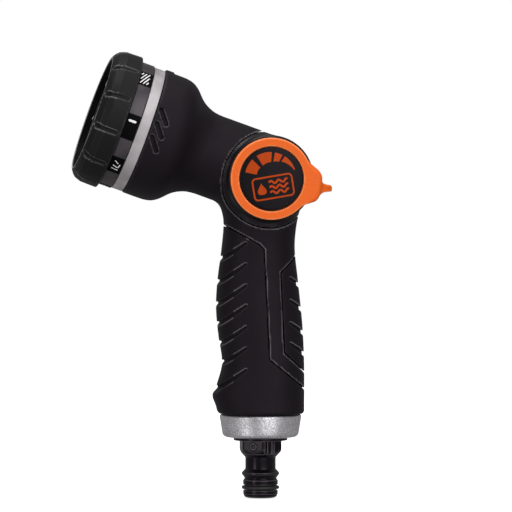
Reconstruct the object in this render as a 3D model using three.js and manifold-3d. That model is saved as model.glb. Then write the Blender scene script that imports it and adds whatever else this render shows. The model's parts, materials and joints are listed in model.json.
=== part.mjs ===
// Garden hose spray nozzle: a pistol shaped body with a turning pattern dial in front,
// a thumb lever that turns the valve in the hub, and a click connector at the foot.
// Millimetres. +Z runs up the handle, -X is the spray side, +Y is the right-hand side.
// The origin is the centre of the end face of the hose connector.

import * as THREE from "three";
import { mergeVertices } from "three/addons/utils/BufferGeometryUtils.js";
import Module from "manifold-3d";

const wasm = await Module();
wasm.setup();

// ---- Driving dimensions --------------------------------------------------

const GAP = 0.3; // between pieces that touch
const HUB = new THREE.Vector3(2.6, 0, 144.7); // centre of the valve hub
const HEAD_TILT = THREE.MathUtils.degToRad(20); // spray axis above the horizontal
const HEAD_RISE = 0.75; // spray axis above the hub centre, across the axis
const SKIN = 2.3; // thickness of the soft mouldings

const FOOT_Z = 38; // lower edge of the soft grip
const TRUNK_TOP_Z = 145;
const TRUNK_STATIONS = [38, 42, 46.5, 51.5, 60, 72, 86, 99, 112, 124, 133, 145];
// Handle outline in side view, as [z, distance from the handle axis].
const FRONT_EDGE = [[38, 19.3], [41.5, 20.2], [46.5, 21.7], [51.5, 19.7], [61, 17.4], [74, 19.1],
  [86, 20.1], [98, 19.5], [112, 17.7], [125, 16.7], [134, 18.4], [145, 18.6]];
const REAR_EDGE = [[38, 19.7], [60, 19.7], [78, 18.9], [98, 16.9], [113, 15.4], [124, 16.3], [132, 18.2],
  [145, 19]];
const SIDE_EDGE = [[38, 19.2], [50, 18.4], [64, 17.6], [86, 17.5], [110, 16.6], [126, 17.6], [145, 18.6]];
const SECTION_POWER = 2.25; // 2 is an ellipse, more is squarer

// Head outline as [distance along the spray axis from the hub, radius].
const HEAD_OUTLINE = [[0, 18.6], [28.1, 18.6], [32.5, 19.15], [36.3, 20.7], [39, 22.6], [42.6, 26.2],
  [45.2, 28], [48, 28.8], [51.5, 29.05], [59.4, 29.05]];
const BELL_FRONT = 59.4;
const NIB = { start: 55.5, width: 4.4, height: 0.6 };

const DRUM_R = 19.5;
const DRUM_HALF = 20;
const COVER_CUT_R = 21.85; // round cut-out of the soft cover at the hub
const COVER_CUT_DROP = 0.75; // its centre below the hub's
const PLUG_R = 9;
const PLUG_HALF = 13.4;
const PORT_R = 3.2;
const CHAMBER_R = 9.4;
const GLAND_R = 13.7;
const SEAT = { r: 21.1, inset: 0.2 }; // body standing up to the skin round the drum
const JOURNAL_R = 6.2;
const SQUARE = 8; // drive end of the plug
const LEVER_TRAVEL = THREE.MathUtils.degToRad(65);

const RING_R = 18.6;
const RING_BORE = 14.6;
const RING_Y = [20.3, 21.7, 23.3]; // inner face, web face and outer face of a lever side
const TAIL_R = 23.1;
const BRIDGE_R = 20.9;
const TAB = { tip: 28.6, top: -2.4, foot: -6.3, half: 19.5, round: 7 };
const CAP_R = 14.25;
const CAP_Y = [22, 23.3, 24.2]; // foot, rim and crown of a cap

const BEZEL = { z: [59.7, 64.6], r: [25.7, 28.75] };
const BARREL = { z: [60.5, 79], r: 25.3, wall: 1.6, disc: [62, 65] };
const BAND = { z: [64.9, 70.8], r: [25.6, 29.1] };
const GRIP = { z: [71.1, 84.2], r: [25.6, 31.1], lip: 25 };
const FACE = { z: [79.3, 81.3], r: 25.3 };
const SCALLOPS = 12;
const PATTERNS = 8;
const PATTERN_R = 16; // circle of the outlet ports
const DETENT_R = 20;
const DETENT_ANGLE = Math.PI + Math.PI / PATTERNS;
const PLATE = { z: [52, 55], r: 23.6 };
const BALL_R = 1.7;
const BALL_TRAVEL = 0.8;
const SPINDLE_R = 5;

const COLLAR = { z: [27.5, 37.7], r: [17, 18.5] };
const BORE_R = 4.6; // water bore of the connector
const NUT = { corner: 10.3, turn: -25 }; // radius and turn of the hexagon's corners
const TAIL_TOP = 44;
const THREAD_R = 9.6;
const SOCKET_TOP = 50;
const WATERWAY_R = 6;

// Edge of the front grip on the flank of the handle, as [x, z] from front to rear.
const FRONT_SEAM = [[-32, 132], [-2.3, 115.1], [0, 112.7], [2.3, 63.2], [32, 39.2]];
// Edge of the rear grip, from its top to its foot.
const REAR_SEAM = [[32, 125], [7.6, 102.2], [9.2, 66.1], [32, 45.8]];
const SEAM = 0.35; // half the width of a seam
const FRONT_NOTCHES = [107.3, 97.8, 88.3, 79.2, 69.5, 59.9, 50.2]; // heights at the front edge
const REAR_NOTCHES = [95.4, 85.3, 75.2, 66];
const NOTCH = { width: 1.5, depth: 0.9, frontRise: 38, rearRise: 36, frontReach: -8.3, rearReach: 12.2 };

// ---- Materials -----------------------------------------------------------

const finish = (color, roughness, metalness = 0) =>
  new THREE.MeshStandardMaterial({ color, roughness, metalness });
const SOFT_BLACK = finish(0x201e20, 0.75);
const GLOSS_BLACK = finish(0x141315, 0.25);
const HARD_BLACK = finish(0x1b1a1c, 0.45);
const ORANGE = finish(0xee6826, 0.45);
const SILVER = finish(0xb8b4b2, 0.35, 0.9);
const CAST_SILVER = finish(0xa9a7a6, 0.5, 0.8);
const GUNMETAL = finish(0x504b50, 0.4, 0.7);
const STEEL = finish(0xbfc1c4, 0.3, 1);
const SEAL_BLACK = finish(0x111111, 0.85);
const WHITE = finish(0xe6e5e0, 0.6);

// ---- Geometry helpers ----------------------------------------------------

// A closed three.js geometry as a solid, turned to face outwards.
function solid(geometry) {
  const plain = new THREE.BufferGeometry();
  plain.setAttribute("position", geometry.getAttribute("position").clone());
  if (geometry.index) plain.setIndex(geometry.index.clone());
  const merged = mergeVertices(plain, 1e-4);
  const at = (i) => new THREE.Vector3().fromBufferAttribute(merged.attributes.position, i);
  let faces = [];
  for (let i = 0; i < merged.index.count; i += 3) {
    const [a, b, c] = [0, 1, 2].map((k) => merged.index.array[i + k]);
    if (a !== b && b !== c && c !== a) faces.push([a, b, c]);
  }
  const volume = faces.reduce((sum, [a, b, c]) => sum + at(a).dot(at(b).cross(at(c))), 0);
  if (volume < 0) faces = faces.map(([a, b, c]) => [a, c, b]);
  return new wasm.Manifold(
    new wasm.Mesh({
      numProp: 3,
      vertProperties: new Float32Array(merged.attributes.position.array),
      triVerts: new Uint32Array(faces.flat()),
    }),
  );
}

function geometryOf(made) {
  const { vertProperties, triVerts } = made.getMesh();
  const geometry = new THREE.BufferGeometry();
  geometry.setAttribute("position", new THREE.BufferAttribute(new Float32Array(vertProperties), 3));
  geometry.setIndex(new THREE.BufferAttribute(new Uint32Array(triVerts), 1));
  geometry.computeVertexNormals();
  return geometry;
}

// A profile of [radius, z] points turned about Z. It closes on itself or on the axis.
function turned(profile, segments = 32) {
  const points = profile.map(([r, z]) => new THREE.Vector2(r, z));
  if (profile[0][0] > 0) points.push(points[0].clone());
  return solid(new THREE.LatheGeometry(points, segments).rotateX(Math.PI / 2));
}

const rod = (r, z0, z1, segments = 32) => turned([[0, z0], [r, z0], [r, z1], [0, z1]], segments);
const ring = (r0, r1, z0, z1, segments = 32) =>
  turned([[r0, z0], [r1, z0], [r1, z1], [r0, z1]], segments);

function box(x, y, z) {
  return solid(new THREE.BoxGeometry(x[1] - x[0], y[1] - y[0], z[1] - z[0]).translate(
    (x[0] + x[1]) / 2, (y[0] + y[1]) / 2, (z[0] + z[1]) / 2));
}

// An outline in the XZ plane pushed out along Y from y0 to y1.
function plate(shape, y0, y1, curveSegments = 12) {
  const geometry = new THREE.ExtrudeGeometry(shape, { depth: y1 - y0, bevelEnabled: false, curveSegments });
  return solid(geometry.rotateX(Math.PI / 2).translate(0, y1, 0));
}

const outline = (points) => new THREE.Shape(points.map(([x, z]) => new THREE.Vector2(x, z)));

// A solid moved by a three.js matrix.
const moved = (made, matrix) => made.transform(matrix.elements);
const shifted = (made, x, y, z) => moved(made, new THREE.Matrix4().makeTranslation(x, y, z));
// A solid turned about Z laid along Y, its foot towards -Y.
const alongY = (made) => moved(made, new THREE.Matrix4().makeRotationX(-Math.PI / 2));
const mirroredY = (made) => moved(made, new THREE.Matrix4().makeScale(1, -1, 1));

// A smooth function through [position, value] points.
function smoothThrough(points) {
  const slope = (i) => {
    const a = points[Math.max(i - 1, 0)];
    const b = points[Math.min(i + 1, points.length - 1)];
    return (b[1] - a[1]) / (b[0] - a[0]);
  };
  return (at) => {
    const last = points.length - 1;
    const x = THREE.MathUtils.clamp(at, points[0][0], points[last][0]);
    const i = Math.min(points.findLastIndex((p) => p[0] <= x), last - 1);
    const span = points[i + 1][0] - points[i][0];
    const t = (x - points[i][0]) / span;
    return (
      (2 * t ** 3 - 3 * t ** 2 + 1) * points[i][1] + (t ** 3 - 2 * t ** 2 + t) * span * slope(i) +
      (3 * t ** 2 - 2 * t ** 3) * points[i + 1][1] + (t ** 3 - t ** 2) * span * slope(i + 1)
    );
  };
}

function helix(r, wire, z0, z1, turns) {
  class Coil extends THREE.Curve {
    getPoint(t, target = new THREE.Vector3()) {
      const turn = t * turns * 2 * Math.PI;
      return target.set(r * Math.cos(turn), r * Math.sin(turn), z0 + wire + t * (z1 - z0 - 2 * wire));
    }
  }
  const section = new THREE.Shape().absarc(0, 0, wire, 0, 2 * Math.PI);
  return solid(new THREE.ExtrudeGeometry(section, {
    steps: Math.round(turns * 8), curveSegments: 3, extrudePath: new Coil(), bevelEnabled: false }));
}

function toroid(ringRadius, tube, around = 20, section = 6) {
  return solid(new THREE.TorusGeometry(ringRadius, tube, section, around));
}

// ---- Frames --------------------------------------------------------------

// In the head frame Z runs out along the spray axis and X points to the top of the head.
const headFrame = new THREE.Matrix4()
  .makeTranslation(HUB.x + HEAD_RISE * Math.sin(HEAD_TILT), 0, HUB.z + HEAD_RISE * Math.cos(HEAD_TILT))
  .multiply(new THREE.Matrix4().makeRotationY(HEAD_TILT - Math.PI / 2));
const hubFrame = new THREE.Matrix4().makeTranslation(HUB.x, HUB.y, HUB.z);
const inHead = (made) => moved(made, headFrame);
const atHub = (made) => moved(made, hubFrame);

const part = new THREE.Group();
const headGroup = new THREE.Group();
headGroup.applyMatrix4(headFrame);
const hubGroup = new THREE.Group();
hubGroup.position.copy(HUB);
part.add(headGroup, hubGroup);

function add(group, name, made, material) {
  const mesh = new THREE.Mesh(geometryOf(made), material);
  mesh.name = name;
  group.add(mesh);
}

// ---- Handle and head shells ----------------------------------------------

// The handle as a stack of rounded sections, drawn in by inset all round.
function trunk(inset, footZ = FOOT_Z) {
  const front = smoothThrough(FRONT_EDGE);
  const rear = smoothThrough(REAR_EDGE);
  const side = smoothThrough(SIDE_EDGE);
  const stations = [footZ, ...TRUNK_STATIONS.filter((z) => z > footZ)];
  const profile = [[0, footZ], ...stations.map((z) => [1, z]), [0, TRUNK_TOP_Z]];
  const points = profile.map(([r, z]) => new THREE.Vector2(r, z));
  const geometry = new THREE.LatheGeometry(points, 18).rotateX(Math.PI / 2);
  const position = geometry.getAttribute("position");
  const squared = (v) => Math.sign(v) * Math.abs(v) ** (2 / SECTION_POWER);
  for (let i = 0; i < position.count; i++) {
    const z = position.getZ(i);
    const halfX = (front(z) + rear(z)) / 2 - inset;
    const centre = (rear(z) - front(z)) / 2;
    position.setX(i, centre + halfX * squared(position.getX(i)));
    position.setY(i, (side(z) - inset) * squared(position.getY(i)));
  }
  return solid(geometry);
}

// The outside of the head from the hub to the front of the bell, drawn in by inset.
function headShell(inset, front = BELL_FRONT) {
  const stations = HEAD_OUTLINE.map(([z, r]) => [r - inset, Math.min(z, front)]);
  return inHead(turned([[0, 0], ...stations, [0, front]], 28));
}

const drum = (r, half) => atHub(alongY(rod(r, -half, half, 32)));

const trunkOuter = trunk(0);
const trunkCore = trunk(SKIN + GAP, FOOT_Z + GAP);
const trunkLining = trunk(SKIN, FOOT_Z - 1);

function seamed(points, corners, offset) {
  const shape = outline([...points, ...corners]);
  const grown = plate(shape, -40, 40);
  return offset === 0 ? grown : shifted(grown, offset, 0, 0);
}

const frontZone = (offset) => seamed(FRONT_SEAM, [[32, 20], [-32, 20]], offset);
const rearZone = (offset) => seamed(REAR_SEAM, [[40, 45.8], [40, 125]], offset);

// Slanted grooves across an edge of the handle, rising towards its flank.
function notches(heights, rise, startX, reachX) {
  const towards = Math.sign(reachX - startX);
  const slope = Math.tan(THREE.MathUtils.degToRad(rise));
  const cuts = heights.map((z) => {
    const top = z + slope * Math.abs(reachX - startX);
    const low = z - slope * 10;
    const half = NOTCH.width / 2 / Math.cos(THREE.MathUtils.degToRad(rise));
    const shape = outline([[startX - 10 * towards, low - half], [reachX, top - half * 0.4],
      [reachX, top + half * 0.4], [startX - 10 * towards, low + half]]);
    return plate(shape, -40, 40);
  });
  return wasm.Manifold.union(cuts).subtract(trunk(NOTCH.depth, FOOT_Z - 1));
}

function frontGrip() {
  const grip = trunkOuter.subtract(trunkLining).intersect(frontZone(-SEAM));
  return grip.subtract(notches(FRONT_NOTCHES, NOTCH.frontRise, -19, NOTCH.frontReach));
}

function rearGrip() {
  const grip = trunkOuter.subtract(trunkLining).intersect(rearZone(SEAM));
  return grip.subtract(notches(REAR_NOTCHES, NOTCH.rearRise, 18, NOTCH.rearReach));
}

function softCover() {
  const nib = inHead(box([28, 29.05 + NIB.height], [-NIB.width / 2, NIB.width / 2], [NIB.start, BELL_FRONT]));
  const outside = headShell(0).add(trunkOuter).add(nib);
  const inside = headShell(SKIN, BELL_FRONT + 1).add(trunkLining);
  return outside
    .subtract(inside)
    .subtract(shifted(drum(COVER_CUT_R, 40), 0, 0, -COVER_CUT_DROP))
    .subtract(frontZone(SEAM))
    .subtract(rearZone(-SEAM));
}

function mainBody() {
  const seat = headShell(SEAT.inset).add(trunk(SEAT.inset))
    .intersect(shifted(drum(SEAT.r, 40), 0, 0, -COVER_CUT_DROP));
  const core = headShell(SKIN + GAP).add(trunkCore).add(seat).add(drum(DRUM_R, DRUM_HALF));
  const bell = inHead(turned([[0, 36], [7, 36], [24, 50.5], [24, BELL_FRONT + 1], [0, BELL_FRONT + 1]], 28));
  const outlet = inHead(rod(WATERWAY_R, 4, 37, 16));
  const inlet = rod(WATERWAY_R, 45, HUB.z - 4, 16).add(rod(THREAD_R + GAP, 30, SOCKET_TOP, 20));
  const chamber = atHub(alongY(rod(CHAMBER_R, -20, 20, 24)));
  const glandSeat = atHub(alongY(ring(CHAMBER_R - 1, GLAND_R + GAP, PLUG_HALF, DRUM_HALF + 1, 24)));
  return core
    .subtract(bell)
    .subtract(outlet)
    .subtract(inlet)
    .subtract(chamber)
    .subtract(glandSeat)
    .subtract(mirroredY(glandSeat));
}

add(part, "main_body", mainBody(), HARD_BLACK);
add(part, "soft_cover", softCover(), SOFT_BLACK);
add(part, "front_grip", frontGrip(), SOFT_BLACK);
add(part, "rear_grip", rearGrip(), SOFT_BLACK);

// ---- Foot: collar and hose connector -------------------------------------

function inletCollar() {
  const [z0, z1] = COLLAR.z;
  const [foot, top] = COLLAR.r;
  const round = 2.4;
  const arc = [0, 45, 90].map((a) => {
    const turn = THREE.MathUtils.degToRad(a);
    return [foot - round * (1 - Math.sin(turn)), z0 + round * (1 - Math.cos(turn))];
  });
  return turned([[THREAD_R + GAP, z0], ...arc, [top, z1 - 0.6], [top - 0.5, z1], [THREAD_R + GAP, z1]], 32);
}

function hoseConnector() {
  const barb = [[BORE_R, 0], [6.1, 0], [7.3, 0.5], [7.85, 1.7], [7.85, 3.4], [6.6, 3.4], [6.6, 5.9],
    [7.9, 5.9], [7.9, 8], [7.1, 8.9], [8, 9.9], [8.5, 10.6], [8.5, 11.3], [6.9, 13.1], [6.9, 18.4],
    [8.2, 19.7]];
  const shank = [[8.2, 26], [12.2, 26], [12.2, 27.2], [THREAD_R, 27.2], [THREAD_R, TAIL_TOP],
    [7.2, TAIL_TOP], [BORE_R, 30]];
  const hex = moved(plate(hexagon(NUT.corner, NUT.turn), -40, 40),
    new THREE.Matrix4().makeRotationX(Math.PI / 2));
  const blank = turned([[7.5, 18.6], [NUT.corner, 21.6], [NUT.corner, 26.1], [7.5, 26.1]], 24);
  return turned([...barb, ...shank], 24).add(blank.intersect(hex));
}

function hexagon(corner, degrees) {
  const corners = Array.from({ length: 6 }, (_, i) => {
    const turn = THREE.MathUtils.degToRad(degrees + 60 * i);
    return [corner * Math.cos(turn), corner * Math.sin(turn)];
  });
  return outline(corners);
}

function filterScreen() {
  const holes = Array.from({ length: 6 }, (_, i) => {
    const turn = (i * Math.PI) / 3;
    return shifted(rod(1.3, 46, 49, 6), 4.6 * Math.cos(turn), 4.6 * Math.sin(turn), 0);
  });
  return rod(9.3, 46.8, 47.8, 16).subtract(wasm.Manifold.union([...holes, rod(1.5, 46, 49, 6)]));
}

add(part, "inlet_collar", inletCollar(), CAST_SILVER);
add(part, "hose_connector", hoseConnector(), GLOSS_BLACK);
add(part, "connector_o_ring", shifted(toroid(7.75, 0.8), 0, 0, 4.65), SEAL_BLACK);
add(part, "inlet_washer", ring(6.6, 9.3, TAIL_TOP + GAP, 46.4, 20), SEAL_BLACK);
add(part, "filter_screen", filterScreen(), WHITE);

// ---- Valve and thumb lever (hub frame) -----------------------------------

function valvePlug() {
  const half = [[PLUG_R, 0], [PLUG_R, 10.2], [7.4, 10.2], [7.4, 12.2], [PLUG_R, 12.2], [PLUG_R, PLUG_HALF],
    [JOURNAL_R, PLUG_HALF], [JOURNAL_R, 20], [0, 20]];
  const profile = [...half.map(([r, z]) => [r, -z]).reverse(), ...half.slice(1)];
  const turnedPlug = alongY(turned(profile, 24));
  const drive = box([-SQUARE / 2, SQUARE / 2], [-21.4, 21.4], [-SQUARE / 2, SQUARE / 2]);
  const screwHole = alongY(rod(2, 11, 30, 8));
  // The two ports meet in the middle. They face the inlet and the outlet once the lever is up.
  const port = (angle) => moved(rod(PORT_R, 0, 12, 12),
    new THREE.Matrix4().makeRotationY(Math.PI / 2 - angle));
  const inlet = port(-Math.PI / 2 - LEVER_TRAVEL);
  const outlet = port(Math.PI - HEAD_TILT - LEVER_TRAVEL);
  return turnedPlug
    .add(drive.subtract(alongY(rod(6, -15, 15))))
    .subtract(screwHole)
    .subtract(mirroredY(screwHole))
    .subtract(inlet.add(outlet));
}

// Side view of one lever side: the ring round the hub and the tail that runs back from it.
function leverOutline() {
  const at = (r, degrees) => {
    const turn = THREE.MathUtils.degToRad(degrees);
    return [r * Math.cos(turn), r * Math.sin(turn)];
  };
  const shape = new THREE.Shape();
  shape.moveTo(...at(RING_R, 23));
  shape.lineTo(...at(TAIL_R - 1.4, 10));
  shape.absarc(0, 0, TAIL_R, THREE.MathUtils.degToRad(6), THREE.MathUtils.degToRad(-26), true);
  shape.lineTo(...at(RING_R, -40));
  shape.absarc(0, 0, RING_R, THREE.MathUtils.degToRad(-40), THREE.MathUtils.degToRad(-337), true);
  return shape;
}

// The tab's rounded corners, seen from above.
function tabPlan() {
  const [tip, half, round] = [TAB.tip, TAB.half, TAB.round];
  const shape = new THREE.Shape();
  shape.moveTo(15, -half);
  shape.absarc(tip - round, round - half, round, -Math.PI / 2, 0);
  shape.absarc(tip - round, half - round, round, 0, Math.PI / 2);
  shape.lineTo(15, half);
  return solid(new THREE.ExtrudeGeometry(shape, { depth: 60, bevelEnabled: false, curveSegments: 4 })
    .translate(0, 0, -30));
}

function thumbLever() {
  const [inner, web, outer] = RING_Y;
  const side = plate(leverOutline(), inner, outer, 12)
    .subtract(alongY(rod(RING_BORE, web, outer + 1, 32)))
    .subtract(box([-4.3, 4.3], [inner - 1, outer + 1], [-4.3, 4.3]));
  const wall = plate(leverOutline(), -inner - 0.5, inner + 0.5, 12)
    .subtract(alongY(rod(BRIDGE_R, -30, 30, 36)))
    .intersect(box([10, 40], [-30, 30], [-12, 8]));
  const fin = outline([[21.8, TAB.top - 0.6], [24.5, TAB.top], [TAB.tip - 1, TAB.top - 0.9],
    [TAB.tip, TAB.top - 2], [TAB.tip - 0.6, TAB.foot + 0.4], [24.3, TAB.foot], [21.8, TAB.foot - 1.5]]);
  const tab = plate(fin, -TAB.half, TAB.half).intersect(tabPlan());
  return side.add(mirroredY(side)).add(wall).add(tab);
}

const leverScrew = () => alongY(turned([[0, 13], [1.7, 13], [1.7, RING_Y[1] + GAP], [5.6, RING_Y[1] + GAP],
  [5.6, 22.6], [4, 23.2], [0, 23.2]], 12));

// A low domed disc, hollow over the screw head.
function cap() {
  const [foot, rim, crown] = CAP_Y;
  const dome = [0, 0.5, 1].map((t) => [CAP_R * (1 - t) - 0.4 * (1 - t), crown - (crown - rim) * (1 - t) ** 2]);
  return alongY(turned([[6.2, foot], [CAP_R, foot], [CAP_R, rim - 0.3], ...dome, [0, 23.5], [6.2, 23.5]], 32));
}

const gland = () => alongY(ring(6.5, GLAND_R, PLUG_HALF + GAP, 19.8, 24));
const plugSeal = () => alongY(shifted(toroid(8.45, 0.72), 0, 0, 11.2));

// left is the -Y side of the nozzle, right the +Y side.
function addPair(group, name, made, material) {
  add(group, name + "_right", made, material);
  add(group, name + "_left", mirroredY(made), material);
}

add(hubGroup, "valve_plug", valvePlug(), HARD_BLACK);
add(hubGroup, "thumb_lever", thumbLever(), ORANGE);
addPair(hubGroup, "gland", gland(), HARD_BLACK);
addPair(hubGroup, "plug_o_ring", plugSeal(), SEAL_BLACK);
addPair(hubGroup, "lever_screw", leverScrew(), STEEL);
addPair(hubGroup, "cap", cap(), GLOSS_BLACK);

// ---- Outlet plate and pattern dial (head frame) --------------------------

const spoke = (made, radius, angle) => shifted(made, radius * Math.cos(angle), radius * Math.sin(angle), 0);
const around = (count, from = 0) => Array.from({ length: count }, (_, i) => from + (i * 2 * Math.PI) / count);

function portPlate() {
  const [back, front] = PLATE.z;
  const spindle = rod(SPINDLE_R, back, 73, 20);
  const cup = spoke(rod(6.2, back, 59.5, 16), PATTERN_R, 0);
  const pocket = spoke(rod(3.3, back, 59.5, 12), DETENT_R, DETENT_ANGLE);
  return rod(PLATE.r, back, front, 28)
    .add(spindle)
    .add(cup)
    .add(pocket)
    .subtract(spoke(rod(4.6, front, 61, 16), PATTERN_R, 0))
    .subtract(spoke(rod(2.6, back - 1, 61, 12), PATTERN_R, 0))
    .subtract(spoke(rod(2, 53.4, 61, 12), DETENT_R, DETENT_ANGLE))
    .subtract(rod(1.9, 60, 74, 8));
}

function dialBarrel() {
  const [rear, front] = BARREL.z;
  const [discRear, discFront] = BARREL.disc;
  const hub = SPINDLE_R + 3.2;
  const shell = turned([[SPINDLE_R + 0.4, discRear], [BARREL.r - BARREL.wall, discRear],
    [BARREL.r - BARREL.wall, rear], [BARREL.r, rear], [BARREL.r, front], [BARREL.r - BARREL.wall, front],
    [BARREL.r - BARREL.wall, discFront], [hub, discFront], [hub, 72.6], [SPINDLE_R + 0.4, 72.6]], 28);
  const ports = around(PATTERNS).map((a) => spoke(rod(2.4, discRear - 1, discFront + 1, 8), PATTERN_R, a));
  const dimples = around(PATTERNS, DETENT_ANGLE).map((a) =>
    spoke(turned([[0, rear], [2.3, rear], [2.3, discRear + 0.2], [0.9, discRear + 1.3], [0, discRear + 1.3]], 8),
      DETENT_R, a));
  return shell.subtract(wasm.Manifold.union([...ports, ...dimples]));
}

function gripRing() {
  const [rear, front] = GRIP.z;
  const [inner, outer] = GRIP.r;
  const profile = [[inner, rear], [outer - 0.5, rear], [outer, rear + 0.6], [outer - 0.4, 79.6], [29.7, 82],
    [28, 83.6], [26.6, front], [25.9, front], [GRIP.lip, front - 0.6], [GRIP.lip, FACE.z[1] + GAP],
    [inner, FACE.z[1] + GAP]];
  const grooves = around(SCALLOPS, THREE.MathUtils.degToRad(20.5)).map((a) =>
    spoke(rod(1.2, rear + 1, 80.5, 6), outer + 0.35, a));
  return turned(profile, 36).subtract(wasm.Manifold.union(grooves));
}

// Front plate with one outlet figure for each pattern.
function sprayFace() {
  const [back, front] = FACE.z;
  const hole = (r, x = 0, y = 0) => shifted(rod(r, back - 1, front + 1, 6), x, y, 0);
  const slot = (length, width) => box([-width / 2, width / 2], [-length / 2, length / 2], [back - 1, front + 1]);
  const circle = (count, r, radius) => around(count).map((a) => spoke(hole(r), radius, a));
  const figures = [
    [hole(0.8), ...circle(6, 0.6, 2.6)],
    [slot(7, 1.2)],
    circle(5, 0.9, 2.4),
    [hole(1.8)],
    [slot(1.2, 6)],
    circle(3, 0.6, 1.6),
    [hole(2.6)],
    circle(4, 1, 2.2),
  ];
  const cuts = figures.flatMap((figure, i) =>
    figure.map((cut) => spoke(cut, PATTERN_R, (i * 2 * Math.PI) / PATTERNS)));
  return rod(FACE.r, back, front, 32).subtract(wasm.Manifold.union(cuts));
}

add(headGroup, "bezel_ring", ring(BEZEL.r[0], BEZEL.r[1], BEZEL.z[0], BEZEL.z[1], 36), SILVER);
add(headGroup, "port_plate", portPlate(), HARD_BLACK);
add(headGroup, "port_seal", spoke(ring(2.2, 4.25, 57.8, 61.7, 16), PATTERN_R, 0), SEAL_BLACK);
add(headGroup, "seal_spring", spoke(helix(3.6, 0.32, 55.3, 57.5, 2), PATTERN_R, 0), STEEL);
add(headGroup, "detent_spring", spoke(helix(1.35, 0.25, 53.6, 57.9, 4), DETENT_R, DETENT_ANGLE), STEEL);
add(headGroup, "dial_washer", ring(2.2, 7.4, 73.3, 74.1, 16), STEEL);
add(headGroup, "dial_screw", turned([[0, 62], [1.6, 62], [1.6, 74.4], [3.8, 74.4], [3.8, 75.8], [2.6, 76.6],
  [0, 76.6]], 12), STEEL);
add(headGroup, "dial_barrel", dialBarrel(), HARD_BLACK);
add(headGroup, "pattern_band", ring(BAND.r[0], BAND.r[1], BAND.z[0], BAND.z[1], 36), GUNMETAL);
add(headGroup, "grip_ring", gripRing(), SOFT_BLACK);
add(headGroup, "spray_face", sprayFace(), GLOSS_BLACK);
add(headGroup, "detent_ball",
  spoke(solid(new THREE.SphereGeometry(BALL_R, 10, 6).translate(0, 0, 59.95)), DETENT_R, DETENT_ANGLE), STEEL);

export default part;
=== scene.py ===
"""Garden hose spray nozzle, dressed for a studio picture.

Lengths in the outlines are millimetres; every Blender object is in metres, in the part's own frame:
+Z up the handle, -X the spray side, -Y towards the camera.
The rounded mouldings are level surfaces of distance fields, meshed on a grid and drawn onto the surface.
"""
import functools
import json
import math

import bpy
import numpy as np
from mathutils import Matrix, Vector


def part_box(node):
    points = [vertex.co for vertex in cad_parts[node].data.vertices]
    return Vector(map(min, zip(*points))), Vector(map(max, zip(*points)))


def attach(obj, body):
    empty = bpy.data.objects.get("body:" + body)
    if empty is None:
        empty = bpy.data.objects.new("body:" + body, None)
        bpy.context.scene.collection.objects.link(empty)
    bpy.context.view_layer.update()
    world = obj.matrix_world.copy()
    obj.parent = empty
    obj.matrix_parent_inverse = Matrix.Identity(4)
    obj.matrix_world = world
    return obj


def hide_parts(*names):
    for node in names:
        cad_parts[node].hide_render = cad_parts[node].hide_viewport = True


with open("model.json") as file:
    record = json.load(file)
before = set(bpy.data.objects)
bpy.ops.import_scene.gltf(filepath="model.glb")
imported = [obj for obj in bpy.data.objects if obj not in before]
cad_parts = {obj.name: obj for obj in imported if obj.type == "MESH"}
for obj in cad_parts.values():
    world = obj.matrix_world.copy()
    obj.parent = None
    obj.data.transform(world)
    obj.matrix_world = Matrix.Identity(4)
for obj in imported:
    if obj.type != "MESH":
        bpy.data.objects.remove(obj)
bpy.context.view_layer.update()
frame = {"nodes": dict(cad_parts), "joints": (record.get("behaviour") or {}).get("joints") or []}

MM = 0.001
FINE = 1.0  # grid steps are this many times wider

# ---- The frame, in millimetres ----

JOINTS = {joint["name"]: joint for joint in frame["joints"]}
HUB = np.array(JOINTS["lever_turn"]["pos_m"]) / MM
HEAD = np.array(JOINTS["dial_turn"]["pos_m"]) / MM
SPRAY = np.array(JOINTS["dial_turn"]["axis"])  # along the spray, out of the nozzle
TOP = np.array([SPRAY[2], 0, -SPRAY[0]])  # across the spray, to the top of the head


def size_of(node):
    """Lowest and highest corner of a CAD node."""
    low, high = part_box(node)
    return np.array(low) / MM, np.array(high) / MM


HEAD_FRAME = Matrix(((TOP[0], 0, SPRAY[0], HEAD[0] * MM), (0, 1, 0, 0),
                     (TOP[2], 0, SPRAY[2], HEAD[2] * MM), (0, 0, 0, 1)))
HUB_FRAME = Matrix.Translation(Vector(HUB * MM))

# ---- Driving dimensions ----

SKIN = 2.3  # thickness of the soft mouldings
GAP = 0.3  # between the skin and the body under it
SEAM = 0.3  # half the width of a seam

FRONT_EDGE = [(38, 19.3), (41.5, 20.2), (46.5, 21.7), (51.5, 19.7), (61, 17.4), (74, 19.1),
              (86, 20.1), (98, 19.5), (112, 17.7), (125, 16.7), (134, 18.4), (145, 18.6)]
REAR_EDGE = [(38, 19.7), (60, 19.7), (78, 18.9), (98, 16.9), (113, 15.4), (124, 16.3), (132, 18.2),
             (145, 19)]
SIDE_EDGE = [(38, 19.2), (50, 18.4), (64, 17.6), (86, 17.5), (110, 16.6), (126, 17.6), (145, 18.6)]
SECTION_POWER = 2.25  # 2 makes the handle's section an ellipse, more makes it squarer
HEAD_OUTLINE = [(0, 18.6), (24, 18.6), (28.5, 18.62), (32.5, 19.15), (36.3, 20.7), (39, 22.6),
                (42.6, 26.2), (45.2, 27.95), (48, 28.8), (51.5, 29.05), (59.4, 29.05)]
FRONT_SEAM = [(-32, 132), (-2.3, 115.1), (0, 112.7), (2.3, 63.2), (32, 39.2)]
REAR_SEAM = [(32, 125), (7.6, 102.2), (9.2, 66.1), (32, 45.8)]
FRONT_NOTCHES = [107.3, 97.8, 88.3, 79.2, 69.5, 59.9, 50.2]
REAR_NOTCHES = [95.4, 85.3, 75.2, 66]

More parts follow.
